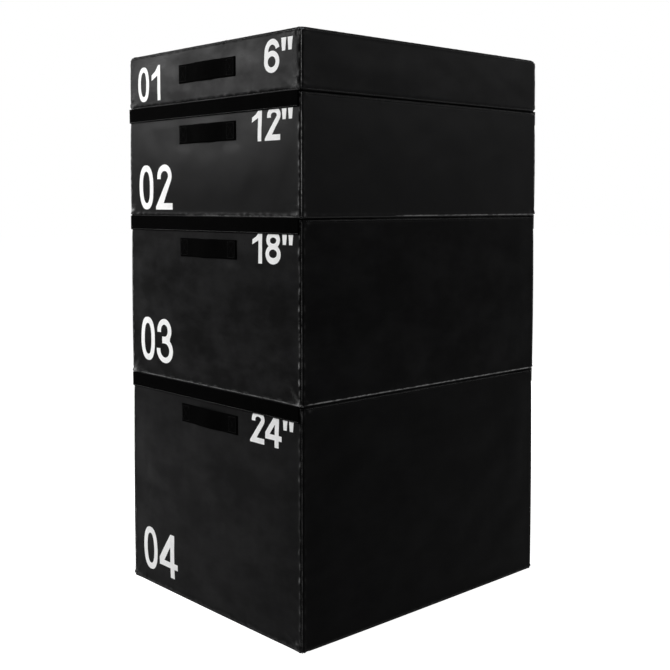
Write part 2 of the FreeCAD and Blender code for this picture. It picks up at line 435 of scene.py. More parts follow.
class Creases:
    """Short folds that fan out over a panel from one of its lower corners."""

    def __init__(self, rng):
        count = len(CREASE_TURNS)
        self.turns = np.radians(CREASE_TURNS + rng.uniform(-CREASE_TURN_SPREAD, CREASE_TURN_SPREAD, count))
        self.reach = rng.uniform(*CREASE_REACHES, count)

    def height(self, across, up):
        """Height of the folds, about 0 to 1, at distances across and up from the corner."""
        away = np.hypot(across, up)
        turn = np.arctan2(up, across)
        total = np.zeros(len(away))
        for aim, reach in zip(self.turns, self.reach):
            fade = np.clip(1 - away / reach, 0, None) * (1 - bell(away, CREASE_START))
            total += CREASE_GAIN * fade * bell(away * np.sin(turn - aim), CREASE_WIDTH)
        return total


def smooth_sample(grid, spots):
    """Values at places on a grid, smoothed by a cubic spline over the four points around each way."""
    padded = np.pad(grid, 2, mode="edge")
    cell = np.floor(spots).astype(int)
    t = spots - cell
    weights = (
        (1 - t) ** 3 / 6,
        (3 * t**3 - 6 * t**2 + 4) / 6,
        (1 + 3 * t + 3 * t**2 - 3 * t**3) / 6,
        t**3 / 6,
    )
    total = np.zeros(len(spots))
    for i in range(4):
        for j in range(4):
            values = padded[cell[:, 0] + i + 1, cell[:, 1] + j + 1]
            total += weights[i][:, 0] * weights[j][:, 1] * values
    return total


def run_cloth(cage):
    """Runs a slack vinyl cloth on a cage held at its sewn points, removes it and returns its places."""
    cloth = cage.modifiers.new("vinyl", "CLOTH")
    for key, value in CLOTH.items():
        setattr(cloth.settings, key, value)
    cloth.settings.vertex_group_mass = "sewn"
    cloth.settings.rest_shape_key = cage.data.shape_keys.key_blocks["cut"]
    cloth.settings.effector_weights.gravity = 0
    cloth.collision_settings.use_collision = False
    cloth.point_cache.frame_end = CLOTH_STEPS
    scene = bpy.context.scene
    for step in range(1, CLOTH_STEPS + 1):
        scene.frame_set(step)
    settled = get_places(cage.evaluated_get(bpy.context.evaluated_depsgraph_get()).data)
    mesh = cage.data
    bpy.data.objects.remove(cage)
    bpy.data.meshes.remove(mesh)
    scene.frame_set(1)
    return settled


class CoverShape:
    """Where the vinyl of one box lies: a rounded block with sewn edges, puckers and soft waves."""

    def __init__(self, number):
        self.look = settings().cover
        self.low, self.high = block_of(number)
        self.carries_box = number != TOP_BOX
        self.slack = SLACK_SHARES[number]
        self.scuff = CORNER_GLINTS[number]
        self.top_radius, self.foot_radius = self.look.top_radius, self.look.foot_radius
        if number == TOP_BOX:
            self.top_radius, self.foot_radius = self.look.first_top_radius, self.look.first_foot_radius
        elif number == FLOOR_BOX:
            self.foot_radius = self.look.floor_radius
        rng = np.random.default_rng(COVER_SEED + int(number))
        self.waves = WaveField(rng, *SLACK_WAVES)
        self.dimples = WaveField(rng, *DIMPLE_WAVES)
        self.folds = WaveField(rng, *FOLD_WAVES)
        self.seams = []
        for axis, across in enumerate(ACROSS):
            for first in (0, 1):
                for second in (0, 1):
                    ends = ((across[0], first), (across[1], second))
                    self.seams.append(Seam(rng, number, self.low, self.high, axis, ends))
        self.creases = [Creases(rng) for _ in range(4)]
        self.panels = {}
        self.held = self.held_places(number)
        coil_low, coil_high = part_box("zip_coil_" + number)
        self.zip_z = (coil_low.z + coil_high.z) / 2
        self.slot_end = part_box("zip_tapes_" + number)[1].x - SLOT_END_AWAY

    def held_places(self, number):
        """Rectangles on the front and rear where something is sewn flat to the panel."""
        low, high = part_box("handle_front_" + number)
        places = [
            (low.x, low.x + HANDLE_SEWN, low.z, high.z),
            (high.x - HANDLE_SEWN, high.x, low.z, high.z),
        ]
        if number in LOOPED:
            strip_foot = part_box("loop_strips_" + number)[0].z
            places.append((self.low[0], self.high[0], strip_foot, self.high[2]))
        return places

    def free_share(self, sharp):
        """1 where a front or rear panel is free to wave, 0 where something is sewn down on it."""
        free = np.ones(len(sharp))
        for left, right, foot, top in self.held:
            aside = np.maximum(np.maximum(left - sharp[:, 0], sharp[:, 0] - right), 0)
            above = np.maximum(np.maximum(foot - sharp[:, 2], sharp[:, 2] - top), 0)
            free *= 1 - bell(np.hypot(aside, above), HELD_MARGIN)
        return free

    def crease_height(self, gaps, on_panel):
        """Height of the folds that fan out from the lower corners of the front and rear."""
        total = np.zeros(len(on_panel))
        for index, creases in enumerate(self.creases):
            end, side = index % 2, index // 2
            rows = on_panel[:, 1] & (gaps[side, :, 1] < TINY)
            total[rows] += creases.height(gaps[end, rows, 0], gaps[0, rows, 2])
        return total

    def resting(self, sharp, upright):
        """Points on a level panel that lies on the floor or on another box, or has a box on it."""
        return ~upright & ((sharp[:, 2] < self.low[2] + TINY) | self.carries_box)

    def settle(self):
        """Lets the slack vinyl settle as cloth held at its seams, and keeps how far each panel moves."""
        counts = np.rint((self.high - self.low) / CAGE_STEP).astype(int)
        cage = mesh_object("cloth_cage", gridded_cube(counts), None)
        unit = get_places(cage.data)
        sharp = self.low + (unit + 1) / 2 * (self.high - self.low)
        on_panel = np.abs(unit) > 1 - TINY
        outward = np.where(on_panel, np.sign(unit), 0)
        outward /= np.linalg.norm(outward, axis=1, keepdims=True)
        upright = on_panel[:, 0] | on_panel[:, 1]
        sewn = (on_panel.sum(axis=1) > 1) | self.resting(sharp, upright)
        sewn |= on_panel[:, 1] & (self.free_share(sharp) < SEWN_BELOW_SHARE)
        start = np.where(sewn, 0, START_WAVE * self.waves.height(sharp))
        set_places(cage.data, sharp + outward * start[:, None])
        cage.vertex_groups.new(name="sewn").add(np.flatnonzero(sewn).tolist(), 1.0, "REPLACE")
        cage.shape_key_add(name="Basis")
        tall = sharp.copy()
        tall[:, 2] += SPARE_HEIGHT_SHARE * self.slack * (sharp[:, 2] - self.low[2])
        cage.shape_key_add(name="cut").data.foreach_set("co", tall.astype(np.float32).ravel())
        moved = ((run_cloth(cage) - sharp) * outward).sum(axis=1)
        most = np.where(moved > 0, MOST_OUT, MOST_IN)
        moved = most * np.tanh(moved / most)
        steps = np.rint((unit + 1) / 2 * counts).astype(int)
        for axis, (first, second) in enumerate(ACROSS):
            for end in (0, 1):
                rows = np.abs(unit[:, axis] - (2 * end - 1)) < TINY
                grid = np.zeros((counts[first] + 1, counts[second] + 1))
                grid[steps[rows, first], steps[rows, second]] = moved[rows]
                self.panels[axis, end] = grid

    def settled(self, sharp):
        """How far the settled vinyl lies from its flat panels."""
        if not self.panels:
            return self.look.wave * self.waves.height(sharp)
        moved = np.zeros(len(sharp))
        for (axis, end), grid in self.panels.items():
            face = self.high[axis] if end else self.low[axis]
            rows = np.abs(sharp[:, axis] - face) < TINY
            span = ((sharp - self.low) / (self.high - self.low))[rows][:, ACROSS[axis]]
            moved[rows] = smooth_sample(grid, span * (np.array(grid.shape) - 1))
        return moved

    def lift(self, sharp):
        """How far the vinyl stands out from the plain rounded block, and how much painted highlight it gets.
        """
        look = self.look
        gaps = np.stack([sharp - self.low, self.high - sharp])
        on_panel = gaps.min(axis=0) < TINY
        upright = on_panel[:, 0] | on_panel[:, 1]
        panel_share = np.where(on_panel[:, 0], SIDE_PANEL_SHARE, LEVEL_PANEL_SHARE)
        panel_share = np.where(on_panel[:, 1], 1.0, panel_share)
        nearest = np.full(len(sharp), np.inf)
        sewn = np.zeros(len(sharp))
        painted_highlight = np.zeros(len(sharp))
        for seam in self.seams:
            away = seam.away(gaps)
            near = away < SEAM_REACH
            nearest = np.minimum(nearest, away)
            along = sharp[near, seam.axis]
            height, rubbed = seam.profile(look, away[near], along, panel_share[near])
            sewn[near] += height
            painted_highlight[near] += rubbed
        corner = np.sqrt((gaps.min(axis=0) ** 2).sum(axis=1))
        gathered = bell(corner - CORNER_AWAY, CORNER_WIDTH)
        gathers = self.folds.height(sharp)
        sewn += look.corner_fold * gathered * gathers
        # Painted glints on the crests of the folds gathered at each corner
        crest_glint = gathered * np.clip(gathers, 0, None) ** 2
        painted_highlight += self.scuff * panel_share ** PANEL_GLINT_POWER * crest_glint
        fold = self.slack * self.crease_height(gaps, on_panel)
        sewn += look.crease * fold
        # Painted highlights on the crests of the creases
        painted_highlight += CREASE_GLINT * fold ** 2
        open_panel = 1 - bell(nearest, FREE_AWAY)
        span = (sharp - self.low) / (self.high - self.low)
        arch = 1 - (2 * span - 1) ** 2
        crown = np.where(on_panel, 1.0, arch).prod(axis=1)
        swell = self.settled(sharp) + self.slack * look.dimple * self.dimples.height(sharp)
        soft = open_panel * swell + look.crown * crown
        free = np.where(on_panel[:, 1], self.free_share(sharp), 1.0)
        lift = sewn * np.where(nearest < 2 * GROOVE_AWAY, 1.0, free) + soft * free
        resting = self.resting(sharp, upright)
        lift[resting] = np.minimum(STACK_SAG_SHARE * lift[resting], 0) - STACK_INSET
        in_slot = on_panel[:, 1] & (sharp[:, 1] > 0) & (np.abs(sharp[:, 0]) < self.slot_end + TINY)
        in_slot &= np.abs(sharp[:, 2] - self.zip_z) < SLOT_HALF + TINY
        lift[in_slot] = -SLOT_DEPTH
        return lift, painted_highlight

    def finish(self, sharp):
        """What the vinyl's finish follows: how cloudy its partly painted sheen is, whether it is level and
        whether it is on a side, where the lower boxes get painted shade.
        """
        on_panel = np.minimum(sharp - self.low, self.high - sharp) < TINY
        on_side, level = on_panel[:, 0], ~(on_panel[:, 0] | on_panel[:, 1])
        slack = self.slack * np.where(on_side, SIDE_CLOUD_SHARE, 1.0)
        return slack, level, on_side

    def surface(self, sharp):
        """Places on the vinyl, its outward directions and its painted highlights, for points on the
        square-edged block.
        """
        up = ((sharp[:, 2] - self.low[2]) / (self.high[2] - self.low[2]))[:, None]
        radius = self.foot_radius + (self.top_radius - self.foot_radius) * up
        core = np.clip(sharp, self.low + radius, self.high - radius)
        outward = sharp - core
        outward /= np.linalg.norm(outward, axis=1, keepdims=True)
        lift, painted_highlight = self.lift(sharp)
        places = core + outward * (radius + lift[:, None])
        ceiling = self.high[2] if self.carries_box else np.inf
        places[:, 2] = np.clip(places[:, 2], self.low[2], ceiling)
        return places, outward, painted_highlight

    def mesh_lines(self, axis):
        """Places of the mesh lines along one axis, with the zip's slot among them."""
        low, high = self.low[axis], self.high[axis]
        edge = EDGE_LINES[-1]
        steps = max(2, round((high - low - 2 * edge) / COVER_STEP))
        middle = np.linspace(low + edge, high - edge, steps + 1)
        lines = np.concatenate([low + EDGE_LINES, middle, high - EDGE_LINES])
        slot_edges = (
            (-self.slot_end, self.slot_end),
            (),
            (self.zip_z - SLOT_HALF, self.zip_z + SLOT_HALF),
        )
        for place, outside in zip(slot_edges[axis], (-SLOT_WALL, SLOT_WALL)):
            wall = np.array([place, place + outside])
            clear = np.abs(lines[:, None] - wall).min(axis=1) > LINE_SPACING
            lines = np.concatenate([lines[clear], wall])
        return np.unique(np.round(lines, LINE_DIGITS))


COVER_SHAPES = {}


def cover_shape(number):
    """The shape of one box's vinyl, settled once and then shared by all that lies on it."""
    if number not in COVER_SHAPES:
        shape = CoverShape(number)
        shape.settle()
        COVER_SHAPES[number] = shape
    return COVER_SHAPES[number]


# Pieces and their meshes

def mesh_object(name, bm, material, smooth=True):
    """A finished bmesh as an object at the origin, with one material."""
    mesh = bpy.data.meshes.new(name)
    bm.to_mesh(mesh)
    bm.free()
    mesh.polygons.foreach_set("use_smooth", [smooth] * len(mesh.polygons))
    if material:
        mesh.materials.append(material)
    piece = bpy.data.objects.new(name, mesh)
    bpy.context.scene.collection.objects.link(piece)
    return piece


def join_frame(piece, body, slot, *nodes):
    """Ties a finished piece to the body it moves with and hides the solids it stands for; the name of its
    finish is not used.
    """
    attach(piece, body)
    if nodes:
        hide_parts(*nodes)


def dress_node(name, material):
    """Gives a solid whose shape is right a better finish."""
    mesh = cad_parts[name].data
    mesh.materials.clear()
    mesh.materials.append(material)


def set_places(mesh, places):
    """Writes an array of places to a mesh's vertices."""
    mesh.vertices.foreach_set("co", np.asarray(places, dtype=np.float32).ravel())
    mesh.update()


def get_places(mesh):
    """The places of a mesh's vertices as an array."""
    places = np.empty(len(mesh.vertices) * 3, dtype=np.float32)
    mesh.vertices.foreach_get("co", places)
    return places.reshape(-1, 3).astype(float)


def all_of(bm):
    """Every vertex, edge and face of a bmesh."""
    return bm.verts[:] + bm.edges[:] + bm.faces[:]


def only_verts(geometry):
    """The vertices among the results of a bmesh operator."""
    return [item for item in geometry if isinstance(item, bmesh.types.BMVert)]


def thicken(bm, way):
    """Closes flat faces to a slab by raising a copy of them."""
    raised = bmesh.ops.extrude_face_region(bm, geom=bm.faces[:])
    bmesh.ops.translate(bm, vec=way, verts=only_verts(raised["geom"]))
    bmesh.ops.recalc_face_normals(bm, faces=bm.faces)


# Shader nodes

def add_node(tree, kind, sockets=None, **options):
    """A shader node with its options set, and each named socket linked or given a value."""
    node = tree.nodes.new("ShaderNode" + kind)
    for key, value in options.items():
        setattr(node, key, value)
    for key, value in (sockets or {}).items():
        if isinstance(value, bpy.types.NodeSocket):
            tree.links.new(value, node.inputs[key])
        else:
            node.inputs[key].default_value = value
    return node


def calculate(tree, operation, *values):
    """The result of one step of arithmetic on sockets and plain values."""
    return add_node(tree, "Math", dict(enumerate(values)), operation=operation).outputs[0]


def remap(tree, value, start=0, stop=1, low=0, high=1):
    """A value that runs from low to high as the one given goes from start to stop."""
    sockets = {"Value": value, "From Min": start, "From Max": stop, "To Min": low, "To Max": high}
    return add_node(tree, "MapRange", sockets).outputs["Result"]


def attribute(tree, name):
    """A value that the mesh carries at each of its points."""
    return add_node(tree, "Attribute", attribute_name=name).outputs["Fac"]


def blend(tree, mask, low, high):
    """One value or another, or what lies between, as the mask goes from 0 to 1."""
    return add_node(tree, "Mix", {0: mask, 2: low, 3: high}).outputs[0]


def paint_over(tree, mask, pattern, colour):
    """A colour pattern that passes to a plain colour as the mask goes from 0 to 1."""
    return add_node(tree, "Mix", {0: mask, 6: pattern, 7: (*colour, 1)}, data_type="RGBA").outputs[2]


def scaled(colour, factor):
    """A colour made darker or lighter."""
    return tuple(min(1.0, channel * factor) for channel in colour)


def tint(tree, mask, colour, low, high):
    """A colour whose brightness runs from the share low to the share high as the mask goes from 0 to 1."""
    ramp = add_node(tree, "ValToRGB", {"Fac": mask})
    for stop, factor in zip(ramp.color_ramp.elements, (low, high)):
        stop.color = (*scaled(colour, factor), 1)
    return ramp.outputs["Color"]


def new_group(name, inputs, outputs):
    """A shader node group that reads a place and named values, with its inner sockets."""
    tree = bpy.data.node_groups.new(name, "ShaderNodeTree")
    tree.interface.new_socket("Vector", in_out="INPUT", socket_type="NodeSocketVector")
    for socket in inputs:
        tree.interface.new_socket(socket, in_out="INPUT", socket_type="NodeSocketFloat")
    for socket in outputs:
        tree.interface.new_socket(socket, in_out="OUTPUT", socket_type="NodeSocketFloat")
    return tree, tree.nodes.new("NodeGroupInput").outputs, tree.nodes.new("NodeGroupOutput").inputs


def soft_mottle_group():
    """Cloudy variation over the surface, from 0 to 1."""
    if "Soft Mottle" in bpy.data.node_groups:
        return bpy.data.node_groups["Soft Mottle"]
    tree, given, result = new_group("Soft Mottle", ["Scale"], ["Mask"])
    noise = add_node(tree, "TexNoise", {
        "Vector": given["Vector"], "Scale": given["Scale"], "Detail": 4.0, "Roughness": 0.55,
    })
    tree.links.new(remap(tree, noise.outputs["Fac"], start=0.3, stop=0.7), result["Mask"])
    return tree


def vinyl_grain_group():
    """Fine leather grain with the weave of the backing cloth showing through."""
    if "Vinyl Grain" in bpy.data.node_groups:
        return bpy.data.node_groups["Vinyl Grain"]
    tree, given, result = new_group("Vinyl Grain", ["Grain Scale", "Cloth Scale", "Cloth Share"], ["Height"])
    grain = add_node(tree, "TexVoronoi", {
        "Vector": given["Vector"], "Scale": given["Grain Scale"],
    }, feature="SMOOTH_F1")
    cloth = 0.0
    for direction in "XYZ":
        wave = add_node(tree, "TexWave", {
            "Vector": given["Vector"], "Scale": given["Cloth Scale"],
            "Distortion": 0.6, "Detail": 1.0, "Detail Scale": 0.4,
        }, bands_direction=direction)
        cloth = calculate(tree, "ADD", wave.outputs["Fac"], cloth)
    height = calculate(tree, "MULTIPLY_ADD", cloth, given["Cloth Share"], grain.outputs["Distance"])
    tree.links.new(height, result["Height"])
    return tree


def cross_weave_group():
    """Threads that pass over and under each other, as a height and a mask of the gaps between."""
    if "Cross Weave" in bpy.data.node_groups:
        return bpy.data.node_groups["Cross Weave"]
    tree, given, result = new_group("Cross Weave", ["Rib Scale", "Row Scale"], ["Height", "Gap"])
    height = 1.0
    for direction, scale in (("X", "Rib Scale"), ("Z", "Row Scale")):
        threads = add_node(tree, "TexWave", {
            "Vector": given["Vector"], "Scale": given[scale], "Distortion": 0.8, "Detail": 1.0,
        }, bands_direction=direction)
        height = calculate(tree, "MULTIPLY", threads.outputs["Fac"], height)
    tree.links.new(height, result["Height"])
    tree.links.new(calculate(tree, "SUBTRACT", 1.0, height), result["Gap"])
    return tree


def clouded_roughness(tree, cloud, roughness, less, more):
    """A roughness that faint clouds lower and raise a little."""
    return remap(tree, cloud, low=roughness + less, high=roughness + more)


def mottle(tree, place, scale):
    """The shared cloudy variation in a material, finer as the scale goes up."""
    sockets = {"Vector": place, "Scale": scale}
    return add_node(tree, "Group", sockets, node_tree=soft_mottle_group()).outputs["Mask"]


# Materials

def start_material(name, roughness, specular):
    """A material with its plain values, and the Object coordinates that its patterns read."""
    material = bpy.data.materials.new(name)
    material.use_nodes = True
    tree = material.node_tree
    shader = tree.nodes["Principled BSDF"]
    shader.inputs["Roughness"].default_value = roughness
    shader.inputs["Specular IOR Level"].default_value = specular
    return material, tree, add_node(tree, "TexCoord").outputs["Object"]


def finish_shader(tree, patterns, height, strength, depth):
    """Links patterns to the shader's sockets by name, and gives it its relief."""
    shader = tree.nodes["Principled BSDF"]
    relief = add_node(tree, "Bump", {"Height": height, "Strength": strength, "Distance": depth})
    for name, pattern in {**patterns, "Normal": relief.outputs["Normal"]}.items():
        tree.links.new(pattern, shader.inputs[name])


def vinyl_material(finish=USUAL_VINYL):
    """Black coated cloth: soft gloss, fine grain, a cloudy sheen partly painted into its colour, and painted
    highlights along its edges.
    """
    if finish["name"] in bpy.data.materials:
        return bpy.data.materials[finish["name"]]
    look = settings().cover
    material, tree, place = start_material(finish["name"], roughness=0.36, specular=finish["specular"])
    drawn = add_node(tree, "Mapping", {"Vector": place, "Scale": CLOUD_STRETCH}).outputs["Vector"]
    broad, dapple = mottle(tree, drawn, scale=9), mottle(tree, drawn, scale=26)
    both = calculate(tree, "MULTIPLY_ADD", dapple, DAPPLE_SHARE, broad)
    clouded = remap(tree, both, start=0.55, stop=1.4)
    cloud = blend(tree, attribute(tree, "slack"), finish["calm"], clouded)
    # Painted highlights, broken into spots by fine clouds
    fleck = remap(tree, mottle(tree, place, scale=75), start=0.25, stop=0.75, low=0.15)
    highlight_mask = calculate(tree, "MULTIPLY", attribute(tree, "rubbed"), fleck)
    # The clouds lighten and darken the vinyl's colour as a painted sheen, and change its roughness
    base = tint(tree, cloud, look.vinyl, low=0.4, high=3.6)
    upright_gloss = remap(tree, cloud, low=0.43, high=0.265)
    level_gloss = remap(tree, cloud, low=0.74, high=0.58)
    patterns = {
        # The painted highlights cover the vinyl's colour in a pale tone
        "Base Color": paint_over(tree, highlight_mask, base, look.worn),
        "Roughness": blend(tree, attribute(tree, "level"), upright_gloss, level_gloss),
    }
    grain = add_node(tree, "Group", {
        "Vector": place, "Grain Scale": 620.0, "Cloth Scale": 260.0, "Cloth Share": 0.22,
    }, node_tree=vinyl_grain_group())
    finish_shader(tree, patterns, grain.outputs["Height"], strength=0.35, depth=0.25 * MM)
    return material


def woven_material(name, colour, rib_pitch, row_pitch, roughness, depth):
    """Matte woven tape: ribs and rows of thread with painted shade in the gaps and slight fading."""
    if name in bpy.data.materials:
        return bpy.data.materials[name]
    material, tree, place = start_material(name, roughness, specular=0.004)
    weave = add_node(tree, "Group", {
        "Vector": place, "Rib Scale": WAVE_BAND / rib_pitch, "Row Scale": WAVE_BAND / row_pitch,
    }, node_tree=cross_weave_group())
    cloud = mottle(tree, place, scale=40)
    faded = tint(tree, cloud, colour, low=0.75, high=1.25)
    patterns = {
        # The gaps between the threads are darkened: painted shade
        "Base Color": paint_over(tree, weave.outputs["Gap"], faded, scaled(colour, 0.4)),
        "Roughness": clouded_roughness(tree, cloud, roughness, *WOVEN_ROUGHNESS_SWING),
    }
    finish_shader(tree, patterns, weave.outputs["Height"], strength=0.6, depth=depth)
    return material


def pile_material(name, colour, scale):
    """Hook tape, loop tape or foam: a dense field of tiny tufts or cells."""
    if name in bpy.data.materials:
        return bpy.data.materials[name]
    material, tree, place = start_material(name, roughness=0.9, specular=0.004)
    tuft = add_node(tree, "TexVoronoi", {"Vector": place, "Scale": scale}).outputs["Distance"]
    cloud = calculate(tree, "MULTIPLY", tuft, mottle(tree, place, scale=90))
    patterns = {"Base Color": tint(tree, cloud, colour, low=1.5, high=0.5)}
    finish_shader(tree, patterns, tuft, strength=0.8, depth=0.6 * MM)
    return material


def plain_material(name, colour, roughness, specular):
    """A moulded, printed or painted finish with faint cloudiness and fine relief."""
    if name in bpy.data.materials:
        return bpy.data.materials[name]
    material, tree, place = start_material(name, roughness, specular)
    cloud = mottle(tree, place, scale=60)
    patterns = {
        "Base Color": tint(tree, cloud, colour, low=0.93, high=1.05),
        "Roughness": clouded_roughness(tree, cloud, roughness, *PLAIN_ROUGHNESS_SWING),
    }
    finish_shader(tree, patterns, mottle(tree, place, scale=900), strength=0.15, depth=0.1 * MM)
    return material


def webbing_material():
    """Heavy black webbing."""
    return woven_material(
        "black_webbing", settings().trim.webbing,
        rib_pitch=1.6 * MM, row_pitch=1.1 * MM, roughness=0.78, depth=0.35 * MM,
    )


def thread_material():
    """Bonded thread, a little lighter and glossier than the vinyl."""
    return plain_material("bonded_thread", settings().trim.thread, roughness=0.42, specular=0.35)


# Covers and cores

# Turns that face a level grid to each side of a cube, and the axes that its two directions then follow
FACE_TURNS = (
    (Matrix.Identity(4), (0, 1)),
    (Matrix.Rotation(math.pi, 4, "X"), (0, 1)),
    (Matrix.Rotation(math.pi / 2, 4, "X"), (0, 2)),
    (Matrix.Rotation(-math.pi / 2, 4, "X"), (0, 2)),
    (Matrix.Rotation(math.pi / 2, 4, "Y"), (2, 1)),
    (Matrix.Rotation(-math.pi / 2, 4, "Y"), (2, 1)),
)
CUBE_JOINED = 1e-4


def gridded_cube(counts):
    """A cube of half-size 1 whose faces are grids with the given number of steps along each axis."""
    bm = bmesh.new()
    outward = Matrix.Translation((0, 0, 1))
    for turn, (first, second) in FACE_TURNS:
        bmesh.ops.create_grid(
            bm, x_segments=int(counts[first]), y_segments=int(counts[second]), size=1, matrix=turn @ outward
        )
    bmesh.ops.remove_doubles(bm, verts=bm.verts, dist=CUBE_JOINED)
    return bm


class PLYO_OT_covers(bpy.types.Operator):
    """Make the sewn vinyl cover of each box"""

    bl_idname = "plyo.covers"
    bl_label = "Vinyl Covers"

    def execute(self, context):
        COVER_SHAPES.clear()
        for number in BOXES:
            shape = cover_shape(number)
            lines = [shape.mesh_lines(axis) for axis in range(3)]
            counts = [len(stops) - 1 for stops in lines]
            cover = mesh_object("vinyl_cover_" + number, gridded_cube(counts), vinyl_material())
            mesh = cover.data
            steps = np.rint((get_places(mesh) + 1) / 2 * counts).astype(int)
            sharp = np.stack([lines[axis][steps[:, axis]] for axis in range(3)], axis=1)
            places, _, painted_highlight = shape.surface(sharp)
            set_places(mesh, places)
            slack, level, on_side = shape.finish(sharp)
            # The mesh carries the painted highlights, the share of painted sheen and which panels are level
            for name, values in (("rubbed", painted_highlight), ("slack", slack), ("level", level)):
                point_values = mesh.attributes.new(name, "FLOAT", "POINT")
                point_values.data.foreach_set("value", values.astype(np.float32))
            # The sides of the lower boxes get the darker, less glossy copy of the vinyl: painted shade
            if number in SHADED_SIDES:
                mesh.materials.append(vinyl_material(SHADED_VINYL))
                corners = np.empty(4 * len(mesh.polygons), dtype=np.int32)
                mesh.polygons.foreach_get("vertices", corners)
                painted_shade = on_side[corners.reshape(-1, 4)].all(axis=1)
                mesh.polygons.foreach_set("material_index", painted_shade.astype(np.int32))
            join_frame(cover, "box_" + number, "vinyl", *panels_of(number))
        return {"FINISHED"}


def cut_glue_line(bm, level, width):
    """Cuts the shallow groove where two slabs of foam are glued, by three rings of which one is inset."""
    for rise, inset in GLUE_LINE:
        place = (0, 0, level + rise)
        cut = bmesh.ops.bisect_plane(bm, geom=all_of(bm), plane_co=place, plane_no=(0, 0, 1))
        squeeze = 1 - 2 * inset / width
        bmesh.ops.scale(bm, vec=(squeeze, squeeze, 1), verts=only_verts(cut["geom_cut"]))


class PLYO_OT_cores(bpy.types.Operator):
    """Make the foam core inside each cover, glued up from slabs"""

    bl_idname = "plyo.cores"
    bl_label = "Foam Cores"

    def execute(self, context):
        foam = pile_material("firm_foam", settings().cover.foam, scale=700.0)
        for number in BOXES:
            low, high = block_of(number)
            low, high = low + FOAM_INSET, high - FOAM_INSET
            width, _, height = high - low
            bm = bmesh.new()
            place = Matrix.Translation((low + high) / 2) @ Matrix.Diagonal((*(high - low), 1))
            bmesh.ops.create_cube(bm, size=1, matrix=place)
            upright = [edge for edge in bm.edges if abs(edge.verts[0].co.z - edge.verts[1].co.z) > FOAM_SLAB]
            bmesh.ops.bevel(
                bm, geom=upright, offset=FOAM_CORNER, segments=4, profile=0.5, affect="EDGES", material=-1
            )
            count = max(2, round(height / FOAM_SLAB))
            for joint in range(1, count):
                cut_glue_line(bm, low[2] + height * joint / count, width)
            core = mesh_object("foam_block_" + number, bm, foam, smooth=False)
            join_frame(core, "box_" + number, "foam", "foam_core_" + number)
        return {"FINISHED"}


# Stitching

def bead_mesh(radii):
    """A small oval bead, the pattern that a stitch or a zip's tooth is copied from."""
    bm = bmesh.new()
    bmesh.ops.create_uvsphere(bm, u_segments=6, v_segments=4, radius=1, matrix=Matrix.Diagonal((*radii, 1)))
    pattern = bpy.data.meshes.new("bead")
    bm.to_mesh(pattern)
    bm.free()
    return pattern


def add_beads(bm, radii, places):
    """Copies of an oval bead at each of a list of placings."""
    pattern = bead_mesh(radii)
    for place in places:
        copy = pattern.copy()
        copy.transform(place)
        bm.from_mesh(copy)
        bpy.data.meshes.remove(copy)
    bpy.data.meshes.remove(pattern)


def stitch_line(bm, places, outward):
    """Stitches along a run of places: rounded beads of thread, each with its outward direction."""
    trim = settings().trim
    spots = []
    for place, way, out in zip(places, np.gradient(places, axis=0), outward):
        across = np.cross(out, way)
        across /= np.linalg.norm(across)
        turn = Matrix(np.column_stack([np.cross(across, out), across, out])).to_4x4()
        spots.append(Matrix.Translation(place) @ turn)
    add_beads(bm, (trim.stitch_length / 2, trim.thread_width / 2, trim.thread_width / 2), spots)


def straight_row(start, end):
    """Evenly spaced places from start to end."""
    start, end = np.asarray(start, float), np.asarray(end, float)
    count = max(2, round(np.linalg.norm(end - start) / settings().trim.stitch_pitch))
    return start + np.outer((np.arange(count) + 0.5) / count, end - start)


def stitch_straight(bm, start, end, side):
    """A straight row of stitches on something flat at the front or rear."""
    row = straight_row(start, end)
    stitch_line(bm, row, [np.array([0.0, side, 0.0])] * len(row))


def seam_row(shape, seam):
    """Places of the stitches beside one sewn edge, on the square-edged block."""
    start = np.zeros(3)
    across = 0 if seam.axis == 2 else 2
    for axis, end in seam.ends:
        inward = SEAM_ROW_AWAY if axis == across else 0
        start[axis] = shape.high[axis] - inward if end else shape.low[axis] + inward
    stop = start.copy()
    start[seam.axis] = shape.low[seam.axis] + SEAM_ROW_END
    stop[seam.axis] = shape.high[seam.axis] - SEAM_ROW_END
    return straight_row(start, stop)


class PLYO_OT_stitching(bpy.types.Operator):
    """Make the rows of thread along the sewn edges of each cover"""

    bl_idname = "plyo.stitching"
    bl_label = "Seam Stitching"

    def execute(self, context):
        for number in BOXES:
            shape = cover_shape(number)
            bm = bmesh.new()
            for seam in shape.seams:
                places, outward, _ = shape.surface(seam_row(shape, seam))
                stitch_line(bm, places + SEAM_ROW_OUT * outward, outward)
            stitching = mesh_object("seam_stitching_" + number, bm, thread_material())
            join_frame(stitching, "box_" + number, "webbing")
        return {"FINISHED"}


# Print: each figure's closed outlines, from its width w, height h and stroke t

def arc(centre, radii, start, stop):
    """Points on an oval from one angle to another, in degrees."""
    count = max(2, round(abs(stop - start) / ARC_STEP))
    angles = np.radians(np.linspace(start, stop, count + 1))
    return [(centre[0] + radii[0] * math.cos(a), centre[1] + radii[1] * math.sin(a)) for a in angles]


def ring(centre, radii, squareness=2.0):
    """A closed oval, squarer as squareness goes up."""
    points = []
    for angle in np.radians(np.arange(0, 360, ARC_STEP)):
        c, s = math.cos(angle), math.sin(angle)
        x = math.copysign(abs(c) ** (2 / squareness), c)
        y = math.copysign(abs(s) ** (2 / squareness), s)
        points.append((centre[0] + radii[0] * x, centre[1] + radii[1] * y))
    return points


def figure_zero(w, h, t):
    """A squarish ring."""
    middle, squareness = (w / 2, h / 2), 2.35
    return [ring(middle, middle, squareness), ring(middle, (w / 2 - t, h / 2 - t), squareness)]


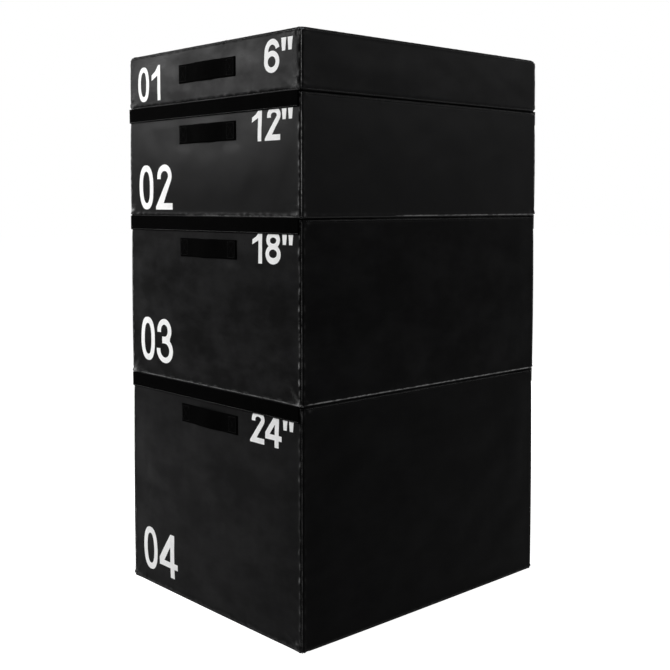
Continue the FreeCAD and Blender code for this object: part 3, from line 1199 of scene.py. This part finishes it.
def figure_one(w, h, t):
    """A stem with a flag."""
    flag = [(0.48 * w, 0.83 * h), (0.1 * w, 0.73 * h), (0.1 * w, 0.58 * h), (w - t, 0.71 * h)]
    return [[(w - t, 0), (w, 0), (w, h), (w - 0.7 * t, h)] + flag]


def figure_two(w, h, t):
    """A bowl that runs down to a flat foot."""
    bowl, outer = (0.56 * w, 0.745 * h), (0.44 * w, 0.255 * h)
    inner = (outer[0] - t, outer[1] - t)
    left = bowl[0] - outer[0]
    outline = [(left, 0.68 * h)] + arc(bowl, outer, 180, -32)
    outline += [(0.47 * w, t), (w, t), (w, 0), (0, 0), (0, 0.06 * h)]
    outline += arc(bowl, inner, -32, 180) + [(left + t, 0.68 * h)]
    return [outline]


def figure_three(w, h, t):
    """Two bowls, open to the left."""
    high, high_outer = (0.47 * w, 0.735 * h), (0.44 * w, 0.265 * h)
    low, low_outer = (0.49 * w, 0.285 * h), (0.51 * w, 0.285 * h)
    high_inner = (high_outer[0] - t, high_outer[1] - 0.9 * t)
    low_inner = (low_outer[0] - t, low_outer[1] - 0.88 * t)
    left = high[0] - high_outer[0]
    outline = [(left, 0.69 * h)] + arc(high, high_outer, 180, -38) + arc(low, low_outer, 52, -180)
    outline += [(low[0] - low_outer[0], 0.32 * h), (low[0] - low_inner[0], 0.32 * h)]
    outline += arc(low, low_inner, 180, 445)
    outline += [(0.33 * w, low[1] + low_inner[1]), (0.33 * w, high[1] - high_inner[1])]
    outline += arc(high, high_inner, 275, 540) + [(left + t, 0.69 * h)]
    return [outline]


def figure_four(w, h, t):
    """A stem and a bar, joined by a slope."""
    stem_left, stem_right = 0.82 * w - 1.1 * t, 0.82 * w
    bar_low, bar_high = 0.22 * h, 0.22 * h + 0.95 * t
    outline = [(stem_left, 0), (stem_right, 0), (stem_right, bar_low), (w, bar_low), (w, bar_high)]
    outline += [(stem_right, bar_high), (stem_right, h), (stem_left, h), (0, bar_high + 0.03 * h)]
    outline += [(0, bar_low), (stem_left, bar_low)]
    return [outline, [(stem_left, bar_high), (stem_left, 0.71 * h), (0.27 * w, bar_high)]]


def figure_six(w, h, t):
    """A closed bowl under a hook."""
    top, top_outer = (0.52 * w, 0.62 * h), (0.5 * w, 0.38 * h)
    low, low_outer = (0.5 * w, 0.325 * h), (0.5 * w, 0.325 * h)
    top_inner = (top_outer[0] - t, top_outer[1] - t)
    outline = arc(top, top_outer, 18, 180) + arc(low, low_outer, 180, 475) + arc(top, top_inner, 180, 18)
    return [outline, ring(low, (low_outer[0] - t, low_outer[1] - 0.95 * t))]


def figure_eight(w, h, t):
    """Two closed bowls."""
    outline = arc((w / 2, 0.735 * h), (0.45 * w, 0.265 * h), -49, 229)
    outline += arc((w / 2, 0.3 * h), (0.5 * w, 0.3 * h), 128, 412)
    upper_hole = ring((w / 2, 0.715 * h), (0.45 * w - t, 0.095 * h))
    lower_hole = ring((w / 2, 0.32 * h), (0.5 * w - t, 0.13 * h))
    return [outline, upper_hole, lower_hole]


def inch_mark(w, h, t):
    """Two short bars that narrow downward, with no stroke of their own."""
    bar, taper, top, foot = 0.44 * w, 0.08 * w, 0.98 * h, 0.6 * h
    first = [(0, top), (taper, foot), (bar - taper, foot), (bar, top)]
    return [first, [(w - x, y) for x, y in first]]


# Width of each figure as a share of its height, and the space after it
FIGURES = {
    "0": (figure_zero, 0.575, 0.09),
    "1": (figure_one, 0.49, 0.17),
    "2": (figure_two, 0.665, 0.05),
    "3": (figure_three, 0.63, 0.05),
    "4": (figure_four, 0.73, 0.04),
    "6": (figure_six, 0.66, 0.08),
    "8": (figure_eight, 0.67, 0.06),
    '"': (inch_mark, 0.48, 0),
}


def text_width(text, height, stretch):
    """Width of a printed number, without the space after its last figure."""
    shares = [FIGURES[figure][1] * stretch + FIGURES[figure][2] for figure in text]
    return height * (sum(shares) - FIGURES[text[-1]][2])


def flat_print(text, height, stroke, stretch):
    """A printed number as flat faces, its lower left corner at the origin, cut to follow a surface."""
    bm = bmesh.new()
    left = 0.0
    for figure in text:
        outline, width_share, space_share = FIGURES[figure]
        width = width_share * stretch * height
        edges = []
        for loop in outline(width, height, stroke):
            verts = [bm.verts.new((left + x, y, 0)) for x, y in loop]
            edges += [bm.edges.new((verts[i - 1], verts[i])) for i in range(len(verts))]
        bmesh.ops.triangle_fill(bm, use_beauty=True, edges=edges)
        left += width + space_share * height
    bmesh.ops.remove_doubles(bm, verts=bm.verts, dist=PRINT_JOINED)
    for axis, extent in ((0, left), (1, height)):
        for index in range(1, math.ceil(extent / PRINT_STEP)):
            place, normal = Vector(), Vector()
            place[axis], normal[axis] = index * PRINT_STEP, 1
            bmesh.ops.bisect_plane(bm, geom=all_of(bm), dist=PRINT_JOINED, plane_co=place, plane_no=normal)
    return bm


def trim_above(bm, level):
    """Cuts away what stands above a level."""
    place, normal = (0, level, 0), (0, 1, 0)
    bmesh.ops.bisect_plane(bm, geom=all_of(bm), plane_co=place, plane_no=normal, clear_outer=True)


def lay_print(name, bm, shape, left, foot, number):
    """Raises a flat print to its ink's thickness and lays it on the front of a cover."""
    look = settings().print
    for face in bm.faces:
        if face.normal.z < 0:
            face.normal_flip()
    thicken(bm, (0, 0, 1))
    ink = plain_material("white_ink", look.ink, roughness=0.55, specular=0.15)
    piece = mesh_object(name, bm, ink, smooth=False)
    flat = get_places(piece.data)
    sharp = np.stack([flat[:, 0] + left, np.full(len(flat), shape.low[1]), flat[:, 1] + foot], axis=1)
    places, outward, _ = shape.surface(sharp)
    rise = np.where(flat[:, 2] > 0, look.ink_thickness, -INK_SUNK)
    set_places(piece.data, places + outward * rise[:, None])
    join_frame(piece, "box_" + number, "vinyl")


class PLYO_OT_print(bpy.types.Operator):
    """Print each box's number and its height in inches on the front"""

    bl_idname = "plyo.print"
    bl_label = "Printed Numbers"

    def execute(self, context):
        look = settings().print
        for number in BOXES:
            shape = cover_shape(number)
            tall = look.first_height if number == TOP_BOX else look.number_height
            flat = flat_print(number, tall, NUMBER_STROKE_SHARE * tall, stretch=1.0)
            left, foot = shape.low[0] + look.number_left, shape.low[2] + NUMBER_FEET[number]
            lay_print("box_number_" + number, flat, shape, left, foot, number)
            tall = look.inch_height
            inches = str(round((shape.high[2] - shape.low[2]) / INCH)) + '"'
            flat = flat_print(inches, tall, INCH_STROKE_SHARE * tall, INCH_STRETCH_SHARE)
            left = shape.high[0] - look.inch_right - text_width(inches, tall, INCH_STRETCH_SHARE)
            foot = shape.high[2] - INCH_DROPS[number]
            if number in LOOPED:
                trim_above(flat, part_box("loop_strips_" + number)[0].z - FLAP_CLEARANCE - foot)
            lay_print("height_number_" + number, flat, shape, left, foot, number)
        return {"FINISHED"}


# Handles, flaps and strips

def strap_mesh(length_steps, width_steps):
    """A flat strap of half-size 1 in X and Z with two faces, 0 and 1 in Y, and closed edges."""
    bm = bmesh.new()
    upright = Matrix.Rotation(math.pi / 2, 4, "X")
    bmesh.ops.create_grid(bm, x_segments=length_steps, y_segments=width_steps, size=1, matrix=upright)
    thicken(bm, (0, 1, 0))
    return bm


def strap_thickness(flat, thickness, edge_share, end_share, lost_share):
    """Thickness of a strap at each point, less along its edges and at its ends."""
    edge = bell(1 - np.abs(flat[:, 2]), edge_share)
    end = bell(1 - np.abs(flat[:, 0]), end_share)
    return thickness * (1 - lost_share * np.maximum(edge, end))


def lay_strap(strap, side, x, out, z):
    """Lays a strap's points on the front or rear, with its outer face outward."""
    set_places(strap.data, np.stack([x, side * out, z], axis=1))
    if side < 0:
        strap.data.flip_normals()


class PLYO_OT_handles(bpy.types.Operator):
    """Make the webbing carry handles, sewn down at both ends"""

    bl_idname = "plyo.handles"
    bl_label = "Carry Handles"

    def execute(self, context):
        for number in BOXES:
            face = block_of(number)[1][1]
            for place, side in SIDES.items():
                node = f"handle_{place}_{number}"
                low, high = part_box(node)
                middle, half = (low + high) / 2, (high - low) / 2
                handle = mesh_object("carry_" + node, strap_mesh(*HANDLE_STEPS), webbing_material())
                flat = get_places(handle.data)
                x = flat[:, 0] * half.x
                arch = np.cos(np.clip(x / (half.x - HANDLE_SEWN), -1, 1) * math.pi / 2) ** 2
                bow = HANDLE_BOW_SHARE * (max(abs(low.y), abs(high.y)) - face - HANDLE_THICKNESS)
                thickness = strap_thickness(flat, HANDLE_THICKNESS, *HANDLE_EDGE_SHARES)
                out = face + HANDLE_CLEARANCE + bow * arch + flat[:, 1] * thickness
                rng = np.random.default_rng(STRAP_SEED + int(number) + side)
                sway = HANDLE_SWAY * arch * Ripple(rng, *STRAP_WAVES).height(x)
                lay_strap(handle, side, x, out, middle.z + flat[:, 2] * half.z + sway)
                join_frame(handle, "box_" + number, "webbing", node)
        return {"FINISHED"}


class PLYO_OT_handle_thread(bpy.types.Operator):
    """Sew each end of each handle down with a box and a cross of thread"""

    bl_idname = "plyo.handle_thread"
    bl_label = "Handle Stitching"

    def execute(self, context):
        colour = scaled(settings().trim.thread, 0.15)
        dark = plain_material("black_thread", colour, roughness=0.6, specular=0.05)
        for number in BOXES:
            bm = bmesh.new()
            for place, side in SIDES.items():
                low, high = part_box(f"handle_{place}_{number}")
                out = side * (block_of(number)[1][1] + HANDLE_ROW_OUT)
                foot, top = low.z + HANDLE_ROW_AWAY, high.z - HANDLE_ROW_AWAY
                for start in (low.x, high.x - HANDLE_SEWN):
                    left, right = start + HANDLE_ROW_AWAY, start + HANDLE_SEWN - HANDLE_ROW_AWAY
                    corners = [(left, out, foot), (right, out, foot), (right, out, top), (left, out, top)]
                    for first, second in ((3, 0), (0, 1), (1, 2), (2, 3), (0, 2), (1, 3)):
                        stitch_straight(bm, corners[first], corners[second], side)
            stitching = mesh_object("handle_stitching_" + number, bm, dark)
            join_frame(stitching, "box_" + number, "webbing")
        return {"FINISHED"}


class PLYO_OT_flaps(bpy.types.Operator):
    """Make the hook flaps that hang from each upper box, with the strips and hems behind them"""

    bl_idname = "plyo.flaps"
    bl_label = "Hook Flaps"

    def execute(self, context):
        webbing = settings().trim.webbing
        hook = pile_material("hook_tape", webbing, scale=900.0)
        loop = pile_material("loop_tape", scaled(webbing, 1.5), scale=1300.0)
        for number in FLAPPED:
            for place, side in SIDES.items():
                node, body = f"hook_flap_{place}_{number}", f"flap_{place}_{number}"
                low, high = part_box(node)
                middle, half = (low + high) / 2, (high - low) / 2
                inner, outer = sorted((abs(low.y), abs(high.y)))
                flap = mesh_object("closing_" + body, strap_mesh(*FLAP_STEPS), webbing_material())
                flat = get_places(flap.data)
                out = inner + flat[:, 1] * strap_thickness(flat, outer - inner, *FLAP_EDGE_SHARES)
                lay_strap(flap, side, flat[:, 0] * half.x, out, middle.z + flat[:, 2] * half.z)
                flap.data.materials.append(hook)
                for face in flap.data.polygons:
                    if face.normal.y * side < -FACING_SHARE:
                        face.material_index = 1
                join_frame(flap, body, "hook_tape", node)
                bm = bmesh.new()
                right, height = half.x - FLAP_ROW_AWAY, low.z + FLAP_ROW_AWAY
                stitch_straight(bm, (-right, side * outer, height), (right, side * outer, height), side)
                stitching = mesh_object(f"flap_stitching_{place}_{number}", bm, thread_material())
                join_frame(stitching, body, "webbing")
            dress_node("flap_hems_" + number, vinyl_material())
        for number in LOOPED:
            dress_node("loop_strips_" + number, loop)
        return {"FINISHED"}


class PLYO_OT_zips(bpy.types.Operator):
    """Make the zip coils, and finish the tapes, sliders and pulls"""

    bl_idname = "plyo.zips"
    bl_label = "Zips"

    def execute(self, context):
        trim = settings().trim
        tape = woven_material(
            "zip_tape_cloth", scaled(trim.webbing, 1.6),
            rib_pitch=0.9 * MM, row_pitch=0.7 * MM, roughness=0.8, depth=0.2 * MM,
        )
        nylon = plain_material("zip_nylon", scaled(trim.thread, 0.6), roughness=0.35, specular=0.4)
        metal = plain_material("painted_zip_metal", trim.metal, roughness=0.34, specular=0.5)
        for number in BOXES:
            low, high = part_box("zip_coil_" + number)
            middle, length = (low + high) / 2, high.x - low.x
            count = round(length / trim.tooth_pitch)
            spots = []
            for index in range(count):
                x = low.x + (index + 0.5) * length / count
                shift = TOOTH_SHIFT if index % 2 else -TOOTH_SHIFT
                spots.append(Matrix.Translation((x, middle.y, middle.z + shift)))
            bm = bmesh.new()
            radii = (TOOTH_LENGTH_SHARE * trim.tooth_pitch, (high.y - low.y) / 2, TOOTH_HALF)
            add_beads(bm, radii, spots)
            coil = mesh_object("zip_teeth_" + number, bm, nylon)
            join_frame(coil, "box_" + number, "zip_coil", "zip_coil_" + number)
            dress_node("zip_tapes_" + number, tape)
            dress_node("zip_slider_" + number, metal)
            dress_node("zip_pull_" + number, metal)
        return {"FINISHED"}


# Stage

def camera_sees(tree):
    """1 for rays that show the background itself: seen straight on, in gloss or through glass."""
    path = add_node(tree, "LightPath").outputs
    direct = calculate(tree, "MAXIMUM", path["Is Camera Ray"], path["Is Glossy Ray"])
    return calculate(tree, "MAXIMUM", direct, path["Is Transmission Ray"])


def floor_material():
    """Pale floor that reads white and keeps a soft shadow."""
    material = bpy.data.materials.new("pale_floor")
    material.use_nodes = True
    tree = material.node_tree
    tree.nodes.clear()
    matte = add_node(tree, "BsdfDiffuse", {"Color": (FLOOR_GREY, FLOOR_GREY, FLOOR_GREY, 1)})
    strength = calculate(tree, "MULTIPLY", camera_sees(tree), FLOOR_GLOW)
    glow = add_node(tree, "Emission", {"Color": (1, 1, 1, 1), "Strength": strength})
    both = add_node(tree, "AddShader", {0: matte.outputs[0], 1: glow.outputs[0]})
    add_node(tree, "OutputMaterial", {"Surface": both.outputs[0]})
    return material


def add_softbox(name, power, width, place, aim):
    """A square light at a place, turned to a point."""
    lamp = bpy.data.lights.new(name, "AREA")
    lamp.energy = power
    lamp.shape = "SQUARE"
    lamp.size = width
    light = bpy.data.objects.new(name, lamp)
    light.location = place
    light.rotation_euler = (Vector(aim) - Vector(place)).to_track_quat("-Z", "Y").to_euler()
    bpy.context.scene.collection.objects.link(light)


class PLYO_OT_stage(bpy.types.Operator):
    """Make the floor, the lights, the pale surroundings and the camera"""

    bl_idname = "plyo.stage"
    bl_label = "Stage"

    def execute(self, context):
        look = settings().stage
        scene = context.scene
        scene.view_settings.view_transform = "Standard"
        bm = bmesh.new()
        bmesh.ops.create_grid(bm, x_segments=1, y_segments=1, size=look.floor_width / 2)
        mesh_object("studio_floor", bm, floor_material())
        world = bpy.data.worlds.new("pale_surroundings")
        world.use_nodes = True
        tree = world.node_tree
        sky = tree.nodes["Background"]
        sky.inputs["Color"].default_value = (1, 1, 1, 1)
        tree.links.new(remap(tree, camera_sees(tree), low=look.ambient), sky.inputs["Strength"])
        scene.world = world
        for name, (power_name, width, place, aim) in SOFTBOXES.items():
            add_softbox(name, getattr(look, power_name), width, place, aim)
        lens = bpy.data.cameras.new("photo_camera")
        lens.lens = look.lens
        lens.sensor_width = SENSOR_WIDTH
        lens.shift_y = CAMERA_SHIFT
        camera = bpy.data.objects.new("photo_camera", lens)
        camera.location = CAMERA_PLACE
        camera.rotation_euler = (math.radians(90 - CAMERA_DOWN), 0, math.radians(CAMERA_TURN))
        scene.collection.objects.link(camera)
        scene.camera = camera
        return {"FINISHED"}


class PLYO_PG_scene(bpy.types.PropertyGroup):
    """All values of the stack."""

    cover: PointerProperty(type=PLYO_PG_cover)
    print: PointerProperty(type=PLYO_PG_print)
    trim: PointerProperty(type=PLYO_PG_trim)
    stage: PointerProperty(type=PLYO_PG_stage)


OPERATORS = (
    PLYO_OT_covers,
    PLYO_OT_cores,
    PLYO_OT_stitching,
    PLYO_OT_print,
    PLYO_OT_handles,
    PLYO_OT_handle_thread,
    PLYO_OT_flaps,
    PLYO_OT_zips,
    PLYO_OT_stage,
)


class PLYO_PT_panel(bpy.types.Panel):
    """Lists the values and the makers of the stack"""

    bl_label = "Plyo Box"
    bl_idname = "PLYO_PT_panel"
    bl_space_type = "VIEW_3D"
    bl_region_type = "UI"
    bl_category = "Plyo Box"

    def draw(self, context):
        for name in ("cover", "print", "trim", "stage"):
            group = getattr(settings(), name)
            box = self.layout.box()
            box.label(text=name.title())
            for key in group.__annotations__:
                box.prop(group, key)
        for operator in OPERATORS:
            self.layout.operator(operator.bl_idname)


CLASSES = (
    PLYO_PG_cover,
    PLYO_PG_print,
    PLYO_PG_trim,
    PLYO_PG_stage,
    PLYO_PG_scene,
    *OPERATORS,
    PLYO_PT_panel,
)


def register():
    for cls in CLASSES:
        bpy.utils.register_class(cls)
    bpy.types.Scene.plyo = PointerProperty(type=PLYO_PG_scene)


def unregister():
    del bpy.types.Scene.plyo
    for cls in reversed(CLASSES):
        bpy.utils.unregister_class(cls)


def main():
    register()
    for operator in OPERATORS:
        group, name = operator.bl_idname.split(".")
        getattr(getattr(bpy.ops, group), name)()


if __name__ == "__main__":
    main()
